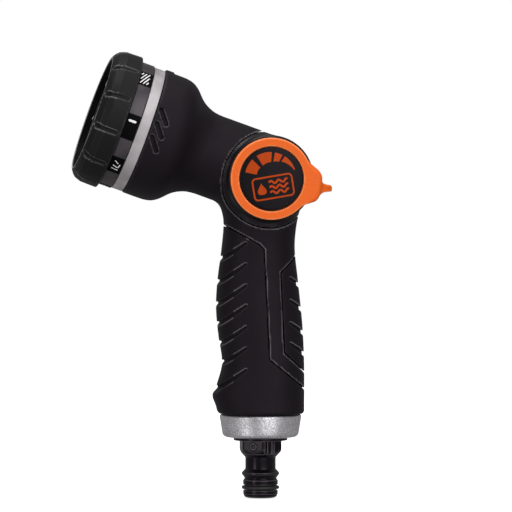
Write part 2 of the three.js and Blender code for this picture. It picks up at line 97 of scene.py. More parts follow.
COVER_CUT = (21.85, 0.75)  # radius of the cover's round cut-out, and its centre below the hub's
SEAT = (21.5, 0.12)  # radius of the body's seat in that cut-out, and how far it lies under the skin
FILL = 0.75  # the body's ribs stand this far under the skin in the seams
DRUM = (19.5, 20.0)  # radius and half width of the valve drum
THROAT = 3.6  # fillet between neck and handle

PATTERNS = 8
PATTERN_R = 16
SCALLOPS = 12


# ---- Distance fields ----

def smooth_min(a, b, width):
    h = np.maximum(width - np.abs(a - b), 0) / width
    return np.minimum(a, b) - h * h * width / 4


def smooth_max(a, b, width):
    return -smooth_min(-a, -b, width)


def most(*fields):
    """The largest of several values: the overlap of shapes."""
    return functools.reduce(np.maximum, fields)


def least(*fields):
    """The smallest of several values: the shapes together."""
    return functools.reduce(np.minimum, fields)


def smooth_step(x, low, high):
    t = np.clip((x - low) / (high - low), 0, 1)
    return t * t * (3 - 2 * t)


def smooth_through(points):
    """A smooth function through (position, value) points, level beyond them."""
    at, value = np.array(points, float).T
    slope = np.empty_like(value)
    slope[1:-1] = (value[2:] - value[:-2]) / (at[2:] - at[:-2])
    slope[0] = (value[1] - value[0]) / (at[1] - at[0])
    slope[-1] = (value[-1] - value[-2]) / (at[-1] - at[-2])

    def curve(x):
        x = np.clip(x, at[0], at[-1])
        i = np.clip(np.searchsorted(at, x, "right") - 1, 0, len(at) - 2)
        span = at[i + 1] - at[i]
        t = (x - at[i]) / span
        return ((2 * t**3 - 3 * t**2 + 1) * value[i] + (t**3 - 2 * t**2 + t) * span * slope[i]
                + (3 * t**2 - 2 * t**3) * value[i + 1] + (t**3 - t**2) * span * slope[i + 1])
    return curve


def outline_distance(x, y, corners):
    """Signed distance to a closed outline in a plane, negative inside."""
    nearest, inside = np.inf, False
    for (ax, ay), (bx, by) in zip(corners, corners[1:] + corners[:1]):
        ex, ey = bx - ax, by - ay
        t = np.clip(((x - ax) * ex + (y - ay) * ey) / (ex * ex + ey * ey), 0, 1)
        nearest = np.minimum(nearest, (x - ax - t * ex) ** 2 + (y - ay - t * ey) ** 2)
        crossing = (ay > y) != (by > y)
        inside = inside ^ (crossing & (x < ex * (y - ay) / (ey or 1) + ax))
    return np.sqrt(nearest) * np.where(inside, -1, 1)


def segment_distance(x, y, a, b):
    """Distance to a straight stretch in a plane, and how far along it from 0 to 1."""
    ex, ey = b[0] - a[0], b[1] - a[1]
    t = np.clip(((x - a[0]) * ex + (y - a[1]) * ey) / (ex * ex + ey * ey), 0, 1)
    return np.hypot(x - a[0] - t * ex, y - a[1] - t * ey), t


front_edge, rear_edge, side_edge = map(smooth_through, (FRONT_EDGE, REAR_EDGE, SIDE_EDGE))
head_outline = smooth_through(HEAD_OUTLINE)
FOOT_Z, TRUNK_TOP_Z = FRONT_EDGE[0][0], FRONT_EDGE[-1][0]
BELL_FRONT = HEAD_OUTLINE[-1][0]


def head_coordinates(x, z):
    """Distance along the spray axis, and height across it."""
    dx, dz = x - HEAD[0], z - HEAD[2]
    return dx * SPRAY[0] + dz * SPRAY[2], dx * TOP[0] + dz * TOP[2]


def handle_field(x, y, z):
    front, rear, side = front_edge(z), rear_edge(z), side_edge(z)
    across = x - (rear - front) / 2
    stretch = ((np.abs(across) * 2 / (front + rear)) ** SECTION_POWER
               + (np.abs(y) / side) ** SECTION_POWER) ** (1 / SECTION_POWER)
    reach = np.hypot(across, y)
    return reach - reach / np.maximum(stretch, 1e-3)


def head_field(x, y, z):
    along, high = head_coordinates(x, z)
    return np.hypot(high, y) - head_outline(along)


def outside_field(x, y, z):
    """The outside of head and handle together, without their ends."""
    along, _ = head_coordinates(x, z)
    head = np.maximum(head_field(x, y, z), -along)
    handle = np.maximum(handle_field(x, y, z), z - TRUNK_TOP_Z)
    return smooth_min(head, handle, THROAT)


def hub_radius(x, z, drop=0.0):
    return np.hypot(x - HUB[0], z - HUB[2] + drop)


def front_zone(x, z):
    """The front grip's area in side view, closed well outside the handle."""
    return outline_distance(x, z, FRONT_SEAM + [(32, 20), (-32, 20)])


def rear_zone(x, z):
    """The rear grip's area in side view, closed well outside the handle."""
    return outline_distance(x, z, REAR_SEAM + [(40, 45.8), (40, 125)])


def shell(field):
    """The skin under a surface."""
    return np.maximum(field, -(field + SKIN))


# ---- Meshes from fields ----

def add_object(name, data):
    made = bpy.data.objects.new(name, data)
    bpy.context.scene.collection.objects.link(made)
    return made


def new_piece(mesh, body, slot, stands_for=(), place=None, material=None):
    """A piece named after its mesh, of its slot's finish unless a material is given."""
    piece = add_object(mesh.name, mesh)
    if place is not None:
        piece.matrix_world = place
    mesh.materials.append(material or FINISHES[slot])
    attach(piece, body)
    if stands_for:
        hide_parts(*stands_for)


def mesh_of(name, vertices, faces):
    """A smooth shaded mesh from millimetre vertices."""
    mesh = bpy.data.meshes.new(name)
    mesh.from_pydata((np.asarray(vertices, float) * MM).tolist(), [], [list(map(int, f)) for f in faces])
    mesh.polygons.foreach_set("use_smooth", np.ones(len(mesh.polygons), bool))
    mesh.update()
    return mesh


SLAB = 24  # layers of a grid whose values are worked out together
BEND_REACH = 0.4  # how far round a point its surface's bend is measured
BEND_RANGE = (0.5, 1.9)  # bends, per millimetre, between a plain surface and a burnished edge with a painted highlight
CORNERS = np.array([(i, j, k) for i in (0, 1) for j in (0, 1) for k in (0, 1)])
CUBE_EDGES = [(a, b) for a in range(8) for b in range(a + 1, 8)
              if np.abs(CORNERS[a] - CORNERS[b]).sum() == 1]


def keep_wear_and_highlight(mesh, wear_and_highlight_share):
    """Stores how much each point is burnished and lit by a painted highlight, from 0 to 1, where the
    materials look for it.
    """
    edge = mesh.attributes.new("edge", "FLOAT", "POINT")
    edge.data.foreach_set("value", wear_and_highlight_share.astype(np.float32))


def level_mesh(name, field, low, high, step, wear_and_highlight=None):
    """The zero level of field inside a box, as a grid of quads drawn onto the surface.

    wear_and_highlight says, from 0 to 1, how much the edges near each point are burnished and lit with a
    painted highlight."""
    step *= FINE
    axes = [np.arange(a - 2 * step, b + 3 * step, step) for a, b in zip(low, high)]
    shape = [len(a) for a in axes]
    value = np.empty(shape, np.float32)
    for i in range(0, shape[0], SLAB):
        value[i:i + SLAB] = field(axes[0][i:i + SLAB, None, None], axes[1][None, :, None],
                                  axes[2][None, None, :])
    inside = value < 0

    def corner(array, offset):
        return array[tuple(slice(o, n - 1 + o) for o, n in zip(offset, shape))]

    count = sum(corner(inside, o).astype(np.int8) for o in CORNERS)
    cells = np.argwhere((count > 0) & (count < 8))
    number = np.full([n - 1 for n in shape], -1, np.int64)
    number[tuple(cells.T)] = np.arange(len(cells))
    values = np.stack([value[tuple((cells + o).T)] for o in CORNERS], 1)
    total, crossings = np.zeros((len(cells), 3)), np.zeros(len(cells))
    for a, b in CUBE_EDGES:
        cut = (values[:, a] < 0) != (values[:, b] < 0)
        t = values[cut, a] / (values[cut, a] - values[cut, b])
        total[cut] += CORNERS[a] + t[:, None] * (CORNERS[b] - CORNERS[a])
        crossings[cut] += 1
    origin = np.array([a[0] for a in axes])
    points = origin + (cells + total / crossings[:, None]) * step
    centre = origin + (cells + 0.5) * step
    probe = 0.2 * step
    leash = 0.55 * step  # a point leaves its cell's centre by no more than this
    for _ in range(3):
        here = field(*points.T)
        slope = np.stack([(field(*(points + probe * d).T) - field(*(points - probe * d).T)) / (2 * probe)
                          for d in np.eye(3)], 1)
        pull = here / np.maximum((slope**2).sum(1), 0.2)
        points = np.clip(points - pull[:, None] * slope, centre - leash, centre + leash)
    quads = []
    for axis in range(3):
        u, v = (axis + 1) % 3, (axis + 2) % 3
        lower = [slice(None)] * 3
        upper = [slice(None)] * 3
        lower[axis], upper[axis] = slice(None, -1), slice(1, None)
        crossing = inside[tuple(lower)] != inside[tuple(upper)]
        at = np.argwhere(crossing)
        rising = inside[tuple(at.T)]
        ring = []
        for du, dv in ((0, 0), (-1, 0), (-1, -1), (0, -1)):
            cell = at.copy()
            cell[:, u] += du
            cell[:, v] += dv
            ring.append(number[tuple(cell.T)])
        ring = np.stack(ring, 1)
        quads += [ring[rising], ring[~rising][:, ::-1]]
    mesh = mesh_of(name, points, np.concatenate(quads).tolist())
    # The more a point's surface bends, the more it is burnished and lit with a painted highlight.
    bend = sum(field(*(points + side * BEND_REACH * d).T) for d in np.eye(3) for side in (-1, 1))
    bend = (bend - 6 * field(*points.T)) / BEND_REACH**2
    wear_and_highlight_share = smooth_step(bend, *BEND_RANGE) * (1 if wear_and_highlight is None else wear_and_highlight(*points.T))
    keep_wear_and_highlight(mesh, wear_and_highlight_share)
    return mesh


def rounded(corners, closed=True, steps=6):
    """An outline of (r, z, radius) corners with each corner rounded."""
    points = []
    for i, (r, z, radius) in enumerate(corners):
        here = np.array([r, z], float)
        if radius == 0:
            points.append(here)
            continue
        before = np.array(corners[i - 1][:2], float) - here
        after = np.array(corners[(i + 1) % len(corners)][:2], float) - here
        before /= np.linalg.norm(before)
        after /= np.linalg.norm(after)
        half = math.acos(np.clip(before @ after, -1, 1)) / 2
        reach = radius / math.tan(half)
        a, b = here + before * reach, here + after * reach
        centre = here + (before + after) / np.linalg.norm(before + after) * radius / math.sin(half)
        for t in np.linspace(0, 1, steps):
            way = (a - centre) * (1 - t) + (b - centre) * t
            points.append(centre + way / np.linalg.norm(way) * radius)
    return points


CREASE = math.radians(38)  # faces that meet at more than this stay crisp
RIM_STEP = 0.6  # a rounded rim has its points closer together than this
RIM_RANGE = (0.8, 2.5)  # turns of an outline, per millimetre, between a plain surface and a burnished rim with a painted highlight


def rim_wear_and_highlight(profile):
    """How much an outline turns outwards at each of its points, from 0 to 1."""
    points = np.array(profile)
    before, after = points - np.roll(points, 1, 0), np.roll(points, -1, 0) - points
    lengths = np.maximum(np.linalg.norm([before, after], axis=2), 1e-6)
    around = np.sign(np.cross(points, np.roll(points, -1, 0)).sum())
    turn = np.arctan2(np.cross(before, after) * around, (before * after).sum(1))
    return smooth_step(turn / lengths.mean(0), *RIM_RANGE) * (lengths.max(0) < RIM_STEP)


def turned_mesh(name, corners, segments=160):
    """A closed outline of (r, z, radius) corners turned about Z. It may start and end on the axis."""
    profile = rounded(corners)
    axis = [i for i, p in enumerate(profile) if p[0] < 1e-6]
    vertices, rings = [], []
    for p in profile:
        if p[0] < 1e-6:
            rings.append([len(vertices)])
            vertices.append((0, 0, p[1]))
            continue
        rings.append(list(range(len(vertices), len(vertices) + segments)))
        vertices += [(p[0] * math.cos(a), p[0] * math.sin(a), p[1])
                     for a in np.arange(segments) * 2 * math.pi / segments]
    faces = []
    pairs = list(zip(rings, rings[1:] + ([] if axis else rings[:1])))
    for low, high in pairs:
        for i in range(segments):
            j = (i + 1) % segments
            if len(low) == 1 and len(high) == 1:
                break
            if len(low) == 1:
                faces.append((low[0], high[j], high[i]))
            elif len(high) == 1:
                faces.append((low[i], low[j], high[0]))
            else:
                faces.append((low[i], low[j], high[j], high[i]))
    mesh = mesh_of(name, vertices, faces)
    mesh_faces_out(mesh)
    # Sharp rims get burnished rubbing and a painted highlight.
    keep_wear_and_highlight(mesh, np.repeat(rim_wear_and_highlight(profile), [len(ring) for ring in rings]))
    return mesh


def mesh_faces_out(mesh):
    """Turns a closed mesh's faces outwards, and keeps its corners crisp."""
    mesh.set_sharp_from_angle(angle=CREASE)
    co = np.array([v.co for v in mesh.vertices])
    mesh.calc_loop_triangles()
    tri = np.array([t.vertices for t in mesh.loop_triangles])
    volume = np.einsum("ij,ij->i", co[tri[:, 0]], np.cross(co[tri[:, 1]], co[tri[:, 2]])).sum()
    if volume < 0:
        mesh.flip_normals()


def plaques(name, grids, place, top, bottom):
    """Thin raised marks: each grid of flat points becomes a closed plate between two heights."""
    vertices, faces = [], []
    for grid in grids:
        rows, columns = len(grid), len(grid[0])
        (ax, ay), (bx, by), (cx, cy) = grid[0][0], grid[1][0], grid[0][1]
        if (bx - ax) * (cy - ay) < (by - ay) * (cx - ax):
            grid = [row[::-1] for row in grid]
        base = len(vertices)
        for height in (top, bottom):
            vertices += [place(x, y, height) for row in grid for x, y in row]

        def at(layer, i, j):
            return base + layer * rows * columns + i * columns + j

        for i in range(rows - 1):
            for j in range(columns - 1):
                quad = [(i, j), (i + 1, j), (i + 1, j + 1), (i, j + 1)]
                faces.append([at(0, *c) for c in quad])
                faces.append([at(1, *c) for c in reversed(quad)])
        rim = ([(i, 0) for i in range(rows)] + [(rows - 1, j) for j in range(1, columns)]
               + [(i, columns - 1) for i in range(rows - 2, -1, -1)]
               + [(0, j) for j in range(columns - 2, 0, -1)])
        for a, b in zip(rim, rim[1:] + rim[:1]):
            faces.append([at(0, *b), at(0, *a), at(1, *a), at(1, *b)])
    mesh = mesh_of(name, vertices, faces)
    mesh_faces_out(mesh)
    return mesh


def ribbon(points, width):
    """A strip of the given width along flat points, or with a width for each point."""
    points = np.array(points, float)
    widths = np.broadcast_to(width, len(points))
    way = np.gradient(points, axis=0)
    way /= np.linalg.norm(way, axis=1)[:, None]
    side = np.stack([-way[:, 1], way[:, 0]], 1) * widths[:, None] / 2
    return [[tuple(p + s), tuple(p - s)] for p, s in zip(points, side)]


def resampled(points, spacing):
    """The same path with points a given spacing apart."""
    points = np.array(points, float)
    run = np.concatenate([[0], np.cumsum(np.linalg.norm(np.diff(points, axis=0), axis=1))])
    at = np.linspace(0, run[-1], max(2, round(run[-1] / spacing)) + 1)
    return [tuple(p) for p in np.stack([np.interp(at, run, points[:, k]) for k in (0, 1)], 1)]


def polar(r, a, x=0.0, y=0.0):
    return x + r * math.cos(a), y + r * math.sin(a)


def dot(x, y, radius, corners=14):
    angles = np.arange(corners + 1) * 2 * math.pi / corners
    return [[polar(r, a, x, y) for a in angles] for r in (radius, radius * 0.04)]


# ---- Materials ----

def srgb(*channels):
    """A display colour from 0 to 255, made linear."""
    parts = [c / 255 for c in channels]
    return [p / 12.92 if p <= 0.04045 else ((p + 0.055) / 1.055) ** 2.4 for p in parts] + [1]


class Graph:
    """A material's nodes, with textures measured in millimetres of the object."""

    def __init__(self, name):
        self.material = bpy.data.materials.new(name)
        self.material.use_nodes = True
        self.tree = self.material.node_tree
        self.shader = self.tree.nodes["Principled BSDF"]
        self.place = self.node("ShaderNodeTexCoord").outputs["Object"]

    def node(self, kind, **settings):
        made = self.tree.nodes.new(kind)
        for key, value in settings.items():
            setattr(made, key, value)
        return made

    def join(self, a, b):
        self.tree.links.new(a, b)

    def noise(self, size, detail=3.0, stretch=(1, 1, 1), shift=0.0):
        """Noise whose blotches are about size millimetres, from 0 to 1."""
        mapping = self.node("ShaderNodeMapping")
        mapping.inputs["Location"].default_value = (shift, shift * 0.7, -shift)
        mapping.inputs["Scale"].default_value = stretch
        self.join(self.place, mapping.inputs["Vector"])
        noise = self.node("ShaderNodeTexNoise")
        noise.inputs["Scale"].default_value = 1 / (size * MM)
        noise.inputs["Detail"].default_value = detail
        self.join(mapping.outputs["Vector"], noise.inputs["Vector"])
        return noise.outputs["Fac"]

    def spread(self, value, low, high, to_low=0.0, to_high=1.0):
        span = self.node("ShaderNodeMapRange")
        for key, number in zip(("From Min", "From Max", "To Min", "To Max"), (low, high, to_low, to_high)):
            span.inputs[key].default_value = number
        self.join(value, span.inputs["Value"])
        return span.outputs["Result"]

    def put(self, value, socket):
        """Sets a socket to a constant, or joins another node's output to it."""
        if isinstance(value, bpy.types.NodeSocket):
            self.join(value, socket)
        else:
            socket.default_value = value

    def sum(self, a, b, kind="ADD"):
        made = self.node("ShaderNodeMath", operation=kind)
        self.put(a, made.inputs[0])
        self.put(b, made.inputs[1])
        return made.outputs[0]

    def tint(self, factor, dark, light):
        mix = self.node("ShaderNodeMix", data_type="RGBA")
        self.put(dark, mix.inputs["A"])
        self.put(light, mix.inputs["B"])
        self.join(factor, mix.inputs["Factor"])
        return mix.outputs["Result"]

    def bump(self, height, depth, after=None):
        """A bump of the given depth in millimetres."""
        made = self.node("ShaderNodeBump")
        made.inputs["Distance"].default_value = depth * MM
        made.inputs["Strength"].default_value = 1
        self.join(height, made.inputs["Height"])
        if after is not None:
            self.join(after, made.inputs["Normal"])
        return made.outputs["Normal"]

    def finish(self, colour, roughness, normal):
        for name, output in (("Base Color", colour), ("Roughness", roughness), ("Normal", normal)):
            self.join(output, self.shader.inputs[name])
        return self.material


def scaled(colour, factor):
    return [min(c * factor, 1) for c in colour[:3]] + [1]


def moulded(name, colour, roughness, grain, depth, variation=0.14, specular=0.5, scuffs=0.1, edge=None,
             sheen=(1, 1, 1, 1)):
    """Moulded rubber or plastic: fine grain, uneven gloss, faint scuffs, and edges burnished and lit with
    painted highlights.
    """
    g = Graph(name)
    g.shader.inputs["Specular IOR Level"].default_value = specular
    g.shader.inputs["Specular Tint"].default_value = sheen
    fine = g.noise(grain, 4)
    cloud = g.noise(14, 4, shift=0.3)
    hair = g.noise(1.2, 2, stretch=(1, 1, 0.12), shift=0.8)
    scuff = g.spread(hair, 0.66, 0.74)
    patchy = g.sum(scuff, g.spread(g.noise(9, 2, shift=0.5), 0.5, 0.7), "MULTIPLY")
    uneven = g.sum(g.spread(cloud, 0.3, 0.7, -0.07, 0.07), g.spread(fine, 0.3, 0.7, -0.05, 0.05))
    rough = g.sum(g.sum(uneven, roughness), g.sum(patchy, scuffs, "MULTIPLY"))
    shade = g.sum(g.spread(cloud, 0.3, 0.7, 0, 0.6), g.spread(fine, 0.35, 0.65, 0, 0.4))
    tone = g.tint(shade, scaled(colour, 1 - variation), scaled(colour, 1 + variation))
    # Along edges the colour turns towards the edge colour: painted highlights, with some burnished rubbing.
    if edge:
        wear_and_highlight_share = g.node("ShaderNodeAttribute", attribute_name="edge").outputs["Fac"]
        tone = g.tint(g.sum(wear_and_highlight_share, g.spread(cloud, 0.3, 0.7, 0.75, 1), "MULTIPLY"), tone, edge)
        rough = g.sum(rough, g.sum(wear_and_highlight_share, -0.15, "MULTIPLY"))
    normal = g.bump(fine, depth, g.bump(g.noise(5, 2, shift=0.2), depth * 1.2))
    return g.finish(tone, rough, normal)


def turned_metal(name, colour, roughness, metallic=1.0, uneven=0.18):
    """Metal brushed round the Z axis of its piece."""
    g = Graph(name)
    g.shader.inputs["Metallic"].default_value = metallic
    lines = g.noise(0.9, 5, stretch=(0.04, 0.04, 6))
    cloud = g.noise(9, 1, shift=0.4)
    tone = g.tint(g.sum(g.spread(lines, 0.3, 0.7, 0, 0.3), g.spread(cloud, 0.35, 0.65, 0, 0.7)),
                  scaled(colour, 1 - uneven), scaled(colour, 1 + uneven / 2))
    rough = g.sum(g.spread(lines, 0.3, 0.7, roughness - 0.06, roughness + 0.06),
                  g.spread(cloud, 0.3, 0.7, -0.05, 0.05))
    return g.finish(tone, rough, g.bump(lines, 0.012))


def cast_metal(name, colour, roughness):
    """Blasted casting under a metallic lacquer: a speckle of bright and dark grains."""
    g = Graph(name)
    g.shader.inputs["Metallic"].default_value = 0.85
    speckle = g.noise(0.5, 2)
    fleck = g.spread(g.noise(0.26, 1, shift=0.6), 0.55, 0.72)
    cloud = g.noise(10, 3, shift=0.4)
    tone = g.tint(g.sum(g.spread(speckle, 0.35, 0.65, 0, 0.75), g.spread(cloud, 0.3, 0.7, 0, 0.25)),
                  scaled(colour, 0.38), scaled(colour, 1.3))
    rough = g.sum(g.spread(speckle, 0.3, 0.7, roughness + 0.1, roughness - 0.1),
                  g.sum(fleck, -0.12, "MULTIPLY"))
    return g.finish(tone, rough, g.bump(speckle, 0.05))


# Edge colours, here and in the edge arguments below, are painted highlights along edges, with some
# burnished rubbing.
EDGE_RUB_AND_HIGHLIGHT_GREY = srgb(112, 110, 113)
PLUM = (1, 0.88, 1, 1)  # the black plastics reflect light with this faint cast
SOFT_BLACK = moulded("soft_black", srgb(17, 13, 18), 0.6, 0.32, 0.02, specular=0.16, edge=EDGE_RUB_AND_HIGHLIGHT_GREY,
                     sheen=PLUM)
GRIP_BLACK = moulded("dial_grip_black", srgb(16, 14, 15), 0.55, 0.3, 0.02, specular=0.18,
                     edge=srgb(195, 190, 194))
HARD_BLACK = moulded("hard_black", srgb(15, 13, 15), 0.4, 0.22, 0.008, specular=0.2, scuffs=0.18,
                     edge=EDGE_RUB_AND_HIGHLIGHT_GREY, sheen=PLUM)
GLOSS_BLACK = moulded("gloss_black", srgb(9, 6, 11), 0.2, 0.25, 0.004, specular=0.2, scuffs=0.2,
                      edge=srgb(92, 88, 93), sheen=PLUM)
CAP_BLACK = moulded("cap_black", srgb(10, 8, 10), 0.42, 0.25, 0.004, specular=0.14, scuffs=0.2,
                    edge=srgb(62, 59, 62), sheen=PLUM)
# Black print on the pattern patches; on the dial's liner this near-black stands for painted shade.
PRINT_AND_SHADE_BLACK = moulded("print_and_shade_black", srgb(5, 4, 6), 0.5, 0.3, 0.004, specular=0.04)
PLATE_BLACK = moulded("plate_black", srgb(9, 8, 10), 0.4, 0.3, 0.006, specular=0.2)
ORANGE = moulded("orange", srgb(232, 99, 22), 0.42, 0.3, 0.012, variation=0.05, specular=0.2,
                 edge=srgb(255, 150, 90))
GAUGE_ORANGE = moulded("gauge_orange", srgb(180, 64, 6), 0.45, 0.3, 0.006, variation=0.08, specular=0.1)
PRINT_WHITE = moulded("print_white", srgb(235, 235, 235), 0.5, 0.25, 0.006, variation=0.04)
SEAL_RUBBER = moulded("seal_rubber", srgb(20, 20, 20), 0.5, 0.2, 0.012)
WHITE_PLASTIC = moulded("white_plastic", srgb(226, 225, 220), 0.45, 0.3, 0.01, variation=0.04)
GUNMETAL = turned_metal("gunmetal", srgb(75, 70, 74), 0.46, 0.7, 0.35)
BEZEL_SILVER = turned_metal("bezel_silver", srgb(180, 175, 177), 0.55, 0.45, 0.3)
STEEL = turned_metal("steel", srgb(205, 206, 208), 0.28)
CAST_SILVER = cast_metal("cast_silver", srgb(220, 217, 221), 0.38)

FINISHES = {  # what each CAD slot is made of
    "hard_black": HARD_BLACK, "gloss_black": GLOSS_BLACK, "soft_black": SOFT_BLACK, "orange": ORANGE,
    "seal_rubber": SEAL_RUBBER, "white_plastic": WHITE_PLASTIC, "gunmetal": GUNMETAL, "steel": STEEL,
    "bezel_silver": BEZEL_SILVER, "cast_silver": CAST_SILVER,
}

# ---- Soft mouldings of head and handle ----

# Front and rear: a stroke's start, inner end and rise in degrees. Taper: the share of its width that it
# loses, and where along it that starts. Beside: how far across and past it its lips reach.
NOTCH = {"half": 0.8, "depth": 0.95, "front": (-19, -8.3, 38), "rear": (18, 12.2, 36),
         "taper": (0.35, 0.75), "beside": (2, 1.5)}
CRISP = 0.3  # width over which the edges of grooves and seams are rounded
SLOTS = [((57.4, 11.2), (53.5, 6.0)), ((57.4, 4.9), (53.5, -0.3)), ((57.4, -1.5), (53.5, -6.7))]
SLOT = (1.05, 1.5)  # half width and depth
NIB = (55.5, 2.2, 0.55)  # start, half width and height of the pointer on top of the bell
ROUND = {"bell": 0.8, "foot": 1.8, "nib": 0.4}  # rounding of the soft skins' ends, and the nib's fillet

# How light the edges are, from 0 to 1: burnished rubbing and painted highlights. These and
# notch_wear_and_highlight follow the highlights that the photo shows.
EDGE_RUB_AND_HIGHLIGHT = {"grips": 0.04, "dull_lip": 0.12, "under_bezel": 0.15, "slots": 0.45, "core": 0.15,
        "scallops": 0.3, "dial": 0.07}


def notches(x, z, heights, start, reach, rise):
    """Slanted strokes in side view, thinner towards their inner end."""
    slope = math.tan(math.radians(rise))
    beyond = 10  # a stroke runs on past its start, out of the handle
    away = math.copysign(beyond, start - reach)
    taper, taper_start = NOTCH["taper"]
    nearest = np.inf
    for height in heights:
        inner = (reach, height + slope * abs(reach - start))
        off, along = segment_distance(x, z, (start + away, height - slope * beyond), inner)
        half = NOTCH["half"] * (1 - taper * smooth_step(along, taper_start, 1))
        nearest = np.minimum(nearest, off - half)
    return nearest


def notch_wear_and_highlight(x, z, heights, start, reach, rise, share):
    """The upper lip of a stroke gets a painted highlight along an inner share of it, the lower lip along
    the rest.
    """
    slope = math.tan(math.radians(rise))
    above = [z - height - slope * np.abs(x - start) for height in heights]
    above = np.take_along_axis(np.array(above), np.argmin(np.abs(above), 0)[None], 0)[0]
    inner = (x - reach - share * (start - reach)) * (reach - start) > 0
    across, past = NOTCH["beside"]
    elsewhere = (np.abs(above) > across) | ((x - reach) * np.sign(reach - start) > past)
    return np.where(elsewhere, EDGE_RUB_AND_HIGHLIGHT["grips"], np.where((above > 0) == inner, 1, EDGE_RUB_AND_HIGHLIGHT["dull_lip"]))


def front_wear_and_highlight(x, y, z):
    return notch_wear_and_highlight(x, z, FRONT_NOTCHES, *NOTCH["front"], 0.5)


def rear_wear_and_highlight(x, y, z):
    return notch_wear_and_highlight(x, z, REAR_NOTCHES, *NOTCH["rear"], 1.0)


def slots(x, z):
    along, high = head_coordinates(x, z)
    return least(*(segment_distance(along, high, a, b)[0] for a, b in SLOTS)) - SLOT[0]


def cover_wear_and_highlight(x, y, z):
    """Painted highlight and burnishing: the front edge is hidden by the bezel and gets hardly any, the
    slots get a little.
    """
    along, _ = head_coordinates(x, z)
    return np.where(along > BELL_FRONT - 1.2, EDGE_RUB_AND_HIGHLIGHT["under_bezel"],
                    np.where(slots(x, z) < 1, EDGE_RUB_AND_HIGHLIGHT["slots"], 1))


def engraved(field, skin, strokes, depth, width=CRISP):
    """Cuts strokes into a moulding, down to a depth under its skin."""
    return smooth_max(field, -np.maximum(strokes, -(skin + depth)), width)


def cover_field(x, y, z):
    skin = outside_field(x, y, z)
    along, high = head_coordinates(x, z)
    made = engraved(shell(skin), skin, slots(x, z), SLOT[1])
    made = smooth_max(made, COVER_CUT[0] - hub_radius(x, z, COVER_CUT[1]), CRISP)
    for zone in (front_zone, rear_zone):
        made = smooth_max(made, SEAM - zone(x, z), CRISP)
    nib = most(np.abs(y) - NIB[1], NIB[0] - along, high - HEAD_OUTLINE[-1][1] - NIB[2], -skin - 1,
               20 - high)
    made = smooth_min(made, nib, ROUND["nib"])
    return smooth_max(smooth_max(made, along - BELL_FRONT, ROUND["bell"]), FOOT_Z - z, ROUND["foot"])


def pad_field(x, y, z, heights, stroke, zone):
    """A soft pad on the handle with its strokes, inside its seam."""
    skin = handle_field(x, y, z)
    made = engraved(shell(skin), skin, notches(x, z, heights, *stroke), NOTCH["depth"])
    return smooth_max(made, zone(x, z) + SEAM, CRISP)


def front_grip_field(x, y, z):
    pad = pad_field(x, y, z, FRONT_NOTCHES, NOTCH["front"], front_zone)
    return smooth_max(pad, FOOT_Z - z, ROUND["foot"])


def rear_grip_field(x, y, z):
    return pad_field(x, y, z, REAR_NOTCHES, NOTCH["rear"], rear_zone)


BELL_INSIDE = [(0, 36), (7, 36), (24, 50.5), (24, 62), (0, 62)]
BORE = 6  # radius of the water way
OUTLET, INLET = (20, 17), (92, 49)  # middle and half length of the bore's two runs, along spray and handle
SOCKET = (9.9, 50)  # radius and top of the hole that the hose connector goes into
PLUG_BORE = (9.4, 21)  # radius and half width
GLAND_SEAT = (14, 13.4)  # radius, and how far from the middle it starts
DRUM_ROUND = 1.8
RIB = 0.8  # the ribs' half width, as a share of the seam's


def core_field(x, y, z):
    """The hard body: drum, and the core under the soft skins, with its water way and valve chamber."""
    inset = SKIN + GAP
    along, high = head_coordinates(x, z)
    across, round_hub = np.hypot(high, y), hub_radius(x, z)
    drum = smooth_max(round_hub - DRUM[0], np.abs(y) - DRUM[1], DRUM_ROUND)
    skin = outside_field(x, y, z)
    core = most(skin + inset, FOOT_Z + GAP - z, along - BELL_FRONT)
    round_cut = hub_radius(x, z, COVER_CUT[1])
    seat = smooth_max(skin + SEAT[1], round_cut - SEAT[0], CRISP)
    seams = np.minimum(np.abs(front_zone(x, z)), np.abs(rear_zone(x, z)))
    ribs = most(skin + FILL, seams - RIB * SEAM, FOOT_Z + 1 - z, COVER_CUT[0] - round_cut)
    made = smooth_min(least(core, seat, ribs), drum, 0.6)
    bell = outline_distance(across, along, BELL_INSIDE)
    outlet = np.maximum(across - BORE, np.abs(along - OUTLET[0]) - OUTLET[1])
    upright = np.hypot(x, y)
    inlet = np.minimum(np.maximum(upright - BORE, np.abs(z - INLET[0]) - INLET[1]),
                       np.maximum(upright - SOCKET[0], z - SOCKET[1]))
    chamber = np.minimum(np.maximum(round_hub - PLUG_BORE[0], np.abs(y) - PLUG_BORE[1]),
                         np.maximum(round_hub - GLAND_SEAT[0], GLAND_SEAT[1] - np.abs(y)))
    return most(made, -bell, -outlet, -inlet, -chamber)


# The hard body's edges get a little burnishing and painted highlight, the same everywhere.
def core_wear_and_highlight(x, y, z):
    return np.full_like(x, EDGE_RUB_AND_HIGHLIGHT["core"])


MARGIN = 0.6  # a grid reaches this far past its CAD node
MOULDINGS = [
    ("cover_skin", cover_field, "soft_cover", 0.65, cover_wear_and_highlight, "soft_black"),
    ("front_grip_skin", front_grip_field, "front_grip", 0.5, front_wear_and_highlight, "soft_black"),
    ("rear_grip_skin", rear_grip_field, "rear_grip", 0.38, rear_wear_and_highlight, "soft_black"),
    ("hard_core", core_field, "main_body", 0.9, core_wear_and_highlight, "hard_black"),
]
for name, field, node, step, wear_and_highlight, slot in MOULDINGS:
    low, high = size_of(node)
    new_piece(level_mesh(name, field, low - MARGIN, high + MARGIN, step, wear_and_highlight), "body", slot, [node])

# ---- Foot: collar and hose connector ----

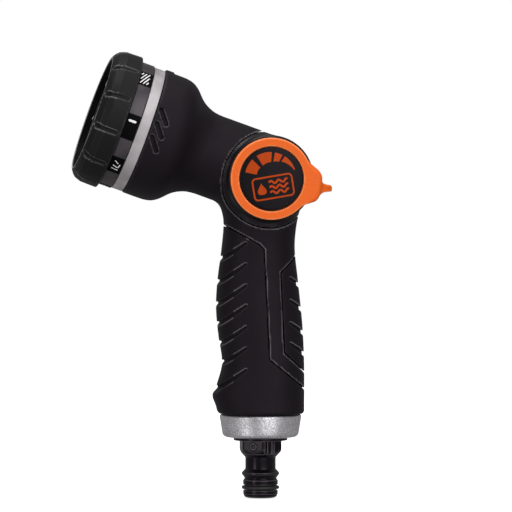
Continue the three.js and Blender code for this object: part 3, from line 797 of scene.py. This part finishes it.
COLLAR = [(9.9, 27.5, 0), (17, 27.5, 2.2), (18.5, 36.9, 0.5), (18.1, 37.6, 0.3), (9.9, 37.6, 0)]
CONNECTOR = [(4.6, 0, 0.3), (6.2, 0, 0.3), (7.3, 0.5, 0.5), (7.85, 1.8, 0.4), (7.85, 3.4, 0.2),
             (6.6, 3.4, 0), (6.6, 5.9, 0), (7.9, 5.9, 0.2), (7.9, 7.9, 0.5), (7.15, 8.8, 0.4),
             (8, 10, 0.5), (8.5, 10.7, 0.3), (8.5, 11.4, 0.3), (6.9, 13.1, 0.6), (6.9, 18.3, 0.8),
             (8.2, 19.7, 0), (8.2, 26, 0), (12.2, 26, 0.2), (12.2, 27.2, 0.2), (9.6, 27.2, 0),
             (9.6, 44, 0.3), (7.2, 44, 0.3), (4.6, 30, 0)]
NUT = {"flat": 8.95, "corner": 10.15, "bore": 8.0, "facing": -27.5, "foot": 18.7, "top": 26.05,
       "cone": (6.9, 18.4), "boss": (23.5, 1.35, 0.3), "slots": ((37.5, 0.45), (60.3, 0.6)), "floor": 8.25}


def nut_field(x, y, z):
    """Hexagon with a boss on one flat and two slots beside it, chamfered to the barrel below.

    The cone has the radius and height it starts at, the boss its height, radius and half its line's width,
    each slot its angle and half width, and the floor is how far out the slots start."""
    turn = np.arctan2(x, -y) - math.radians(NUT["facing"])
    reach = np.hypot(x, y)
    folded = (turn + math.pi / 6) % (math.pi / 3) - math.pi / 6
    hexagon = smooth_max(reach * np.cos(folded) - NUT["flat"], reach - NUT["corner"], 0.3)
    cone = (reach - NUT["cone"][0] - (z - NUT["cone"][1])) * math.sqrt(0.5)
    made = smooth_max(hexagon, cone, 0.5)
    made = smooth_max(made, z - NUT["top"], 0.3)
    made = np.maximum(made, NUT["foot"] - z)
    side = reach * np.sin(turn)
    height, radius, line = NUT["boss"]
    boss = np.abs(np.hypot(side, z - height) - radius) - line
    boss = most(boss, -np.cos(turn), reach * np.cos(turn) - NUT["flat"] - 0.3)
    made = smooth_min(made, boss, 0.25)
    for angle, half in NUT["slots"]:
        off = turn - math.radians(angle)
        slot = np.maximum(np.abs(reach * np.sin(off)) - half, NUT["floor"] - reach * np.cos(off))
        made = smooth_max(made, -slot, 0.3)
    return np.maximum(made, NUT["bore"] - reach)


new_piece(turned_mesh("collar_ring", COLLAR), "body", "cast_silver", ["inlet_collar"])
new_piece(turned_mesh("connector_barrel", CONNECTOR), "body", "gloss_black", ["hose_connector"])
nut = level_mesh("connector_nut", nut_field, (-10.2, -10.2, 18), (10.2, 10.2, 26.6), 0.26)
new_piece(nut, "body", "gloss_black")
RING_TUBE = [(*polar(0.8, a, 7.75, 4.65), 0) for a in np.arange(20) * math.pi / 10]
new_piece(turned_mesh("o_ring", RING_TUBE), "body", "seal_rubber", ["connector_o_ring"])

# ---- Thumb lever and its caps ----

LEVER = {"ring": 18.4, "bore": 14.6, "inner": 20.3, "web": 21.7, "outer": 23.3, "tail": 23.1,
         "bridge": 20.9, "drive": 4.3}
TAIL_CUTS = [((17.0, 7.5), (0.64, 0.768), 2.0), ((20.8, -10.1), (0.273, -0.962), 1.5)]
TAB = [(20, -2.6), (24, -2.4), (27.4, -3.0), (28.6, -4.1), (28.2, -5.9), (24, -6.3), (20, -7.4)]
TAB_TIP, TAB_HALF, TAB_ROUND = 28.6, 19.5, 7


def lever_field(x, y, z):
    """A yoke in the hub's frame: two cheeks with recesses for the caps, a bridge and the thumb tab.

    Each cut of its tail has a point, a normal and a rounding."""
    reach, side = np.hypot(x, z), np.abs(y)
    tail = reach - LEVER["tail"]
    for point, normal, rounding in TAIL_CUTS:
        tail = smooth_max(tail, (x - point[0]) * normal[0] + (z - point[1]) * normal[1], rounding)
    tail = np.maximum(tail, 6 - x)
    outline = smooth_min(reach - LEVER["ring"], tail, 1.0)
    made = smooth_max(outline, side - LEVER["outer"], 0.55 + 1.6 * smooth_step(x, 14.5, 19))
    plan = np.hypot(np.maximum(x - TAB_TIP + TAB_ROUND, 0),
                    np.maximum(side - TAB_HALF + TAB_ROUND, 0)) - TAB_ROUND
    tab = smooth_max(outline_distance(x, z, TAB), np.where(x > 10, plan, 9), 0.5)
    made = smooth_min(made, tab, 2.2)
    hollow = np.maximum(side - LEVER["inner"], reach - LEVER["bridge"])
    recess = np.maximum(reach - LEVER["bore"], LEVER["web"] - side)
    drive = np.maximum(np.abs(x), np.abs(z)) - LEVER["drive"]
    return smooth_max(np.maximum(made, -drive), -np.minimum(hollow, recess), 0.4)


low, high = size_of("thumb_lever")
lever = level_mesh("lever_form", lever_field, low - HUB - 0.5, high - HUB + 0.5, 0.45)
new_piece(lever, "lever", "orange", ["thumb_lever"], HUB_FRAME)

CAP = {"foot": 22, "rim": 23.15, "crown": 24.2, "sag": 0.9, "dome": 14.05, "radius": 14.25}
CAP_HOLLOW = (6.2, 23.5)  # radius and floor of the hollow over the screw


def cap_height(reach):
    """Height of a cap's domed face at a distance from its middle."""
    return CAP["crown"] - CAP["sag"] * (reach / CAP["dome"]) ** 2


CAP_PROFILE = [(CAP_HOLLOW[0], CAP["foot"], 0), (CAP["radius"], CAP["foot"], 0.2),
               (CAP["radius"], CAP["rim"], 0.1),
               *((r, cap_height(r), 0) for r in np.linspace(CAP["dome"], 0.0, 13)),
               (0, CAP_HOLLOW[1], 0), (*CAP_HOLLOW, 0)]
GAUGE = [(168, 135, 6.3, 6.3, 11.4, 11.4), (122, 86.5, 6.3, 7.0, 11.4, 11.4),
         (79, 61, 7.3, 8.1, 11.4, 11.5), (55, 17.5, 8.7, 11.3, 11.6, 11.75)]
GAUGE_CENTRE = (-0.7, 0.6)
EMBLEM = {"centre": (0.65, -3.7), "size": (17.9, 9.7), "turn": 9.5, "round": 1.6, "line": 0.75}


def gauge_grids():
    """Segments of a flow gauge: start and end angle, inner radius at each, outer radius at each."""
    for start, end, inner0, inner1, outer0, outer1 in GAUGE:
        grid = []
        for t in np.linspace(0, 1, 14):
            a = math.radians(start + (end - start) * t)
            radii = (inner0 + (inner1 - inner0) * t, outer0 + (outer1 - outer0) * t)
            grid.append([polar(r, a, *GAUGE_CENTRE) for r in np.linspace(*radii, 4)])
        yield grid


def emblem_grids():
    """A plain rounded frame round a drop and three waves."""
    w, h = EMBLEM["size"][0] / 2, EMBLEM["size"][1] / 2
    turn = math.radians(EMBLEM["turn"])

    def placed(points):
        return [(EMBLEM["centre"][0] + x * math.cos(turn) - y * math.sin(turn),
                 EMBLEM["centre"][1] + x * math.sin(turn) + y * math.cos(turn)) for x, y in points]

    r = EMBLEM["round"]
    frame_line = []
    for cx, cy, start in ((w - r, h - r, 0), (r - w, h - r, 90), (r - w, r - h, 180), (w - r, r - h, 270)):
        frame_line += [polar(r, a, cx, cy) for a in np.radians(range(start, start + 91, 15))]
    yield ribbon(placed(resampled(frame_line + frame_line[:1], 0.5)), EMBLEM["line"])
    middle = -5.2
    drop = [(middle + 3.1 * math.sin(a) * math.sin(a / 2) ** 2, 2.7 * math.cos(a))
            for a in np.linspace(0.2, 3.1, 22)]
    left = [(2 * middle - x, y) for x, y in drop]
    yield [placed([a, b]) for a, b in zip(drop, left)]
    for y in (2.3, 0, -2.3):
        wave = [(x, y + 0.62 * math.sin((x + 1.6) * 1.75)) for x in np.linspace(-1.6, 6.9, 34)]
        yield ribbon(placed(wave), 0.95)


def on_cap(x, y, height):
    return x, y, cap_height(math.hypot(x, y)) + height


for name, side in (("left", 1), ("right", -1)):
    # The cap's own Z points out along -Y on the left and along +Y on the right.
    frame_of_cap = HUB_FRAME @ Matrix.Rotation(side * math.pi / 2, 4, "X")
    new_piece(turned_mesh(f"cap_{name}_dome", CAP_PROFILE), "lever", "gloss_black", [f"cap_{name}"],
              frame_of_cap, CAP_BLACK)
    grids = [[[(x, side * y) for x, y in row] for row in grid]
             for grid in [*gauge_grids(), *emblem_grids()]]
    marks = plaques(f"cap_{name}_marks", grids, on_cap, 0.05, -0.1)
    new_piece(marks, "lever", "orange", place=frame_of_cap, material=GAUGE_ORANGE)

# ---- Bezel and pattern dial ----

BEZEL = [(25.7, 59.7, 0), (28.75, 59.7, 0.25), (28.75, 64.6, 0.25), (25.7, 64.6, 0)]
BAND = [(25.6, 64.9, 0), (29.1, 64.9, 0.12), (29.1, 70.8, 0.12), (25.6, 70.8, 0)]
BAND_R, BAND_MID = 29.1, 67.85
GRIP = [(25.6, 71.1), (30.75, 71.1), (31.1, 71.5), (30.95, 78.6), (30.45, 80.2), (29.9, 81.6), (28.9, 82.7),
        (27.6, 83.6), (26.5, 84.2), (26.1, 84.2), (25.6, 81.6)]
GRIP_LIP = (27.4, 83.2)  # the front lip lies inside this radius and past this height
SCALLOP = {"start": 20, "path": [(73.4, 32.0), (78.8, 31.7), (81.2, 30.9), (83.2, 28.9)], "radius": 1.4}
LINER = [(24.4, 81.5, 0), (25.55, 81.5, 0), (26.0, 83.8, 0.05), (25.8, 83.8, 0.05)]
PATTERN_START = 4.5  # degrees from the near side up to the pattern in use
PATTERN_PITCH = 360 / PATTERNS


def grip_field(x, y, z):
    """The dial's outer ring in the head frame, with its scallops."""
    reach = np.hypot(x, y)
    made = outline_distance(reach, z, GRIP)
    start, pitch = math.radians(SCALLOP["start"]), 2 * math.pi / SCALLOPS
    folded = (np.arctan2(y, x) - start + pitch / 2) % pitch - pitch / 2
    across, out = reach * np.sin(folded), reach * np.cos(folded)
    path = SCALLOP["path"]
    off = least(*(segment_distance(z, out, a, b)[0] for a, b in zip(path, path[1:])))
    return smooth_max(made, SCALLOP["radius"] - np.hypot(across, off), 0.22)


def grip_wear_and_highlight(x, y, z):
    """The front lip gets the most burnishing and painted highlight, the scallops less, the rest hardly any.
    """
    reach = np.hypot(x, y)
    lip = (z > GRIP_LIP[1]) & (reach < GRIP_LIP[0])
    folded = (np.arctan2(y, x) - math.radians(SCALLOP["start"])) * SCALLOPS / (2 * math.pi)
    beside = np.abs(folded - np.round(folded)) * 2 * math.pi / SCALLOPS * reach < SCALLOP["radius"] + 0.6
    return np.where(lip, 1, np.where(beside & (z > 72.2) & (z < 83), EDGE_RUB_AND_HIGHLIGHT["scallops"], EDGE_RUB_AND_HIGHLIGHT["dial"]))


def on_band(angle):
    """Flat (arc, length) marks wrapped on the band about an angle from the near side upwards."""
    def place(arc, length, height):
        turn = math.radians(angle - 90) + arc / BAND_R
        return (*polar(BAND_R + height, turn), BAND_MID + length)
    return place


def rectangle(width, height, x=0.0, y=0.0, columns=1):
    return [[(x - width / 2 + width * t, y - height / 2), (x - width / 2 + width * t, y + height / 2)]
            for t in np.linspace(0, 1, columns + 1)]


def slanted(x, y, length, angle, width=0.45):
    dx, dy = polar(length / 2, math.radians(angle))
    return ribbon([(x - dx, y - dy), (x, y), (x + dx, y + dy)], width)


def hatching(half_arc, half_length, pitch, slope=-2.0):
    """Slanted strokes that fill a rectangle."""
    for c in np.arange(-5, 6) * pitch:
        ends = sorted(((half_arc - c) / slope, (-half_arc - c) / slope))
        low, high = max(ends[0], -half_length), min(ends[1], half_length)
        if high - low > 0.5:
            yield ribbon([(c + slope * y, 0.5 + y) for y in np.linspace(low, high, 9)], 0.5)


def ring_line(radius, width=0.4, x=0.0, y=0.0, start=0, end=360):
    angles = np.radians(np.linspace(start, end, 21))
    return [[polar(r, a, x, y) for r in (radius - width / 2, radius + width / 2)] for a in angles]


BAND_ICONS = [
    [rectangle(1.05, 2.7, -0.2, 0.25), dot(-0.2, 1.6, 0.525), dot(-0.2, -1.1, 0.525)],
    [slanted(*stroke, 0.4) for stroke in (
        (1.9, 0.2, 2.2, 55), (-0.6, 0.1, 2.5, 70), (-2.1, 0.9, 1.2, 84), (-2.3, -0.8, 1.6, 86),
        (0.1, -1.5, 2.0, 167))],
    [dot(*polar(1.4, a), 0.36) for a in np.arange(6) * math.pi / 3] + [dot(0, 0, 0.4)],
    [ring_line(1.5), dot(0, 0, 0.55)],
    [slanted(0, y, 2.8, 0) for y in (-1.2, 0, 1.2)],
    [dot(x, y, 0.3) for x in (-1.4, 0, 1.4) for y in (-1.4, 0, 1.4)],
    [dot(0, -1.5, 0.45), slanted(-0.9, 0.5, 2.4, 110), slanted(0.9, 0.5, 2.4, 70)],
    list(hatching(3.6, 1.95, 2.95)),
]

bezel, band = turned_mesh("bezel_band", BEZEL, 240), turned_mesh("pattern_ring", BAND, 240)
new_piece(bezel, "body", "bezel_silver", ["bezel_ring"], HEAD_FRAME)
new_piece(band, "pattern_dial", "gunmetal", ["pattern_band"], HEAD_FRAME)

for i, icon in enumerate(BAND_ICONS):
    angle = PATTERN_START - PATTERN_PITCH * i
    wide, shift = (11.8, -2.9) if i == 0 else (9.4, 0)
    patch = plaques(f"pattern_patch_{i + 1}", [rectangle(wide, 5.75, shift, columns=20)], on_band(angle),
                    0.03, -0.2)
    new_piece(patch, "pattern_dial", "hard_black", place=HEAD_FRAME, material=PRINT_AND_SHADE_BLACK)
    marks = plaques(f"pattern_icon_{i + 1}", icon, on_band(angle), 0.07, -0.02)
    new_piece(marks, "pattern_dial", "white_plastic", place=HEAD_FRAME, material=PRINT_WHITE)

# The dial's liner is painted shade: a near-black, barely reflecting ring inside the lip that darkens the
# opening.
new_piece(turned_mesh("dial_shade_liner", LINER), "pattern_dial", "hard_black", place=HEAD_FRAME,
          material=PRINT_AND_SHADE_BLACK)
GRIP_OUT = GRIP[2][0] + 0.4
dial_grip = level_mesh("dial_grip", grip_field, (-GRIP_OUT, -GRIP_OUT, 70.7), (GRIP_OUT, GRIP_OUT, 84.6),
                       0.45, grip_wear_and_highlight)
dial_grip.transform(HEAD_FRAME)  # a tilted box round it would reach past its rounded front
new_piece(dial_grip, "pattern_dial", "soft_black", ["grip_ring"], material=GRIP_BLACK)

# The front plate has one outlet figure for each pattern.
FACE = {"back": 79.3, "front": 81.3, "radius": 25.3}
RING_GROOVE = (4.9, 0.25, 0.35)  # radius, half width and depth of the groove round each figure


def hole_ring(count, hole, reach):
    """Round holes of one radius, spaced evenly at a reach from the figure's middle."""
    return [("hole", hole, *polar(reach, a)) for a in np.arange(count) * 2 * math.pi / count]


FIGURES = [
    [("hole", 0.8, 0, 0)] + hole_ring(6, 0.6, 2.6),
    [("slot", 1.2, 7)],
    hole_ring(5, 0.9, 2.4),
    [("hole", 1.8, 0, 0)],
    [("slot", 6, 1.2)],
    hole_ring(3, 0.6, 1.6),
    [("hole", 2.6, 0, 0)],
    hole_ring(4, 1.0, 2.2),
]


def face_field(x, y, z):
    reach = np.hypot(x, y)
    made = smooth_max(reach - FACE["radius"], np.maximum(z - FACE["front"], FACE["back"] - z), 0.4)
    for i, figure in enumerate(FIGURES):
        turn = 2 * math.pi * i / PATTERNS
        px, py = x - PATTERN_R * math.cos(turn), y - PATTERN_R * math.sin(turn)
        groove = np.abs(np.hypot(px, py) - RING_GROOVE[0]) - RING_GROOVE[1]
        made = smooth_max(made, -np.maximum(groove, FACE["front"] - RING_GROOVE[2] - z), 0.2)
        for kind, *sizes in figure:
            if kind == "hole":
                cut = np.hypot(px - sizes[1], py - sizes[2]) - sizes[0]
            else:
                cut = np.maximum(np.abs(px) - sizes[0] / 2, np.abs(py) - sizes[1] / 2)
            made = smooth_max(made, -cut, 0.3)
    return made


plate = level_mesh("outlet_plate", face_field, (-25.6, -25.6, 79), (25.6, 25.6, 81.6), 0.42)
new_piece(plate, "pattern_dial", "gloss_black", ["spray_face"], HEAD_FRAME, PLATE_BLACK)

DIGITS = [  # from 1 to 8, each one stroke in a box one wide and two high
    [(0.2, 1.5), (0.6, 2), (0.6, 0)],
    [(0, 1.5), (0.2, 1.9), (0.8, 1.9), (1, 1.4), (0, 0), (1, 0)],
    [(0, 1.8), (0.5, 2), (1, 1.6), (0.5, 1.1), (1, 0.5), (0.5, 0), (0, 0.2)],
    [(0.8, 0), (0.8, 2), (0, 0.6), (1, 0.6)],
    [(1, 2), (0.1, 2), (0, 1.1), (0.7, 1.2), (1, 0.6), (0.6, 0), (0, 0.1)],
    [(0.8, 2), (0.1, 0.9), (0.1, 0.3), (0.5, 0), (1, 0.4), (0.8, 1), (0.2, 0.9)],
    [(0, 2), (1, 2), (0.4, 0)],
    [(0.5, 1.1), (0.1, 1.6), (0.5, 2), (0.9, 1.6), (0.5, 1.1), (0, 0.5), (0.5, 0), (1, 0.5), (0.5, 1.1)],
]
for i, stroke in enumerate(DIGITS):
    turn = math.radians(PATTERN_START - 90 - PATTERN_PITCH * i)

    def on_face(x, y, height, turn=turn):
        out, along = 22.7 + (y - 1) * 1.1, (0.5 - x) * 1.3
        return (out * math.cos(turn) - along * math.sin(turn),
                out * math.sin(turn) + along * math.cos(turn), FACE["front"] + height)

    mark = plaques(f"dial_number_{i + 1}", [ribbon(stroke, 0.3)], on_face, 0.05, -0.05)
    new_piece(mark, "pattern_dial", "white_plastic", place=HEAD_FRAME, material=PRINT_WHITE)

# ---- CAD nodes that stay as they are, with worked finishes ----

for node in frame["nodes"].values():
    if node.hide_render:
        continue
    slot = node.data.materials[0].name
    node.material_slots[0].link = "OBJECT"
    node.material_slots[0].material = FINISHES[slot]

# ---- Studio ----

YAW = math.radians(5.9)  # the camera stands this far round to the spray side
RISE = math.radians(2)  # and this far above the object's middle
DISTANCE = 2.8  # metres from the target
TARGET = Vector((-2.04, 0, 109.3)) * MM
VIEW_WIDTH = 0.2314  # metres seen across the picture at the target

camera = add_object("camera", bpy.data.cameras.new("camera"))
camera.data.sensor_width = 36
camera.data.lens = camera.data.sensor_width * DISTANCE / VIEW_WIDTH
camera.location = TARGET + DISTANCE * Vector(
    (-math.sin(YAW) * math.cos(RISE), -math.cos(YAW) * math.cos(RISE), math.sin(RISE)))
camera.rotation_euler = (math.pi / 2 - RISE, 0, -YAW)
bpy.context.scene.camera = camera
bpy.context.scene.view_settings.view_transform = "Standard"


def soft_box(name, place, width, height, power):
    light = bpy.data.lights.new(name, "AREA")
    light.shape, light.size, light.size_y, light.energy = "RECTANGLE", width, height, power
    lamp = add_object(name, light)
    lamp.location = place
    lamp.rotation_mode = "QUATERNION"
    lamp.rotation_quaternion = (Vector(place) - TARGET).to_track_quat("Z", "Y")


# The two low boxes stand below the floor, which casts no shadow.
soft_box("key", (0.55, -1.45, 0.8), 1.3, 1.7, 17)
soft_box("fill", (-1.2, -1.0, 0.35), 0.5, 1.0, 4.5)
soft_box("top", (-0.1, 0.0, 1.3), 0.8, 0.8, 9)
soft_box("low", (0.45, -1.35, -0.42), 1.15, 0.32, 2.8)
soft_box("low left", (-0.95, -0.75, -0.75), 0.6, 0.6, 2)

world = bpy.data.worlds.new("studio")
bpy.context.scene.world = world
world.use_nodes = True
nodes, links = world.node_tree.nodes, world.node_tree.links
back = nodes["Background"]
seen = nodes.new("ShaderNodeLightPath").outputs["Is Camera Ray"]
paper = nodes.new("ShaderNodeMix")
paper.data_type = "RGBA"
paper.inputs["A"].default_value = (0.3, 0.3, 0.303, 1)
paper.inputs["B"].default_value = (1, 1, 1, 1)
links.new(seen, paper.inputs["Factor"])
links.new(paper.outputs["Result"], back.inputs["Color"])

FLOOR_R, FLOOR_SIDES = 2.4, 96
FLOOR_DROP = 0.0004  # keeps the floor clear of the part's foot
floor_mesh = bpy.data.meshes.new("floor")
floor_rim = [(*polar(FLOOR_R, a), 0) for a in np.arange(FLOOR_SIDES) * math.pi / (FLOOR_SIDES / 2)]
floor_mesh.from_pydata(floor_rim, [], [list(range(FLOOR_SIDES))])
floor = add_object("floor", floor_mesh)
floor.location.z = -FLOOR_DROP
g = Graph("paper")
for name, value in (("Base Color", (0.9, 0.9, 0.9, 1)), ("Roughness", 0.9),
                    ("Emission Color", (1, 1, 1, 1)), ("Emission Strength", 0.75)):
    g.shader.inputs[name].default_value = value
length = g.node("ShaderNodeVectorMath", operation="LENGTH")
g.join(g.place, length.inputs[0])
g.join(g.spread(length.outputs["Value"], 0.35, 1.9, 1, 0), g.shader.inputs["Alpha"])
floor_mesh.materials.append(g.material)
floor.visible_glossy = floor.visible_diffuse = floor.visible_shadow = False
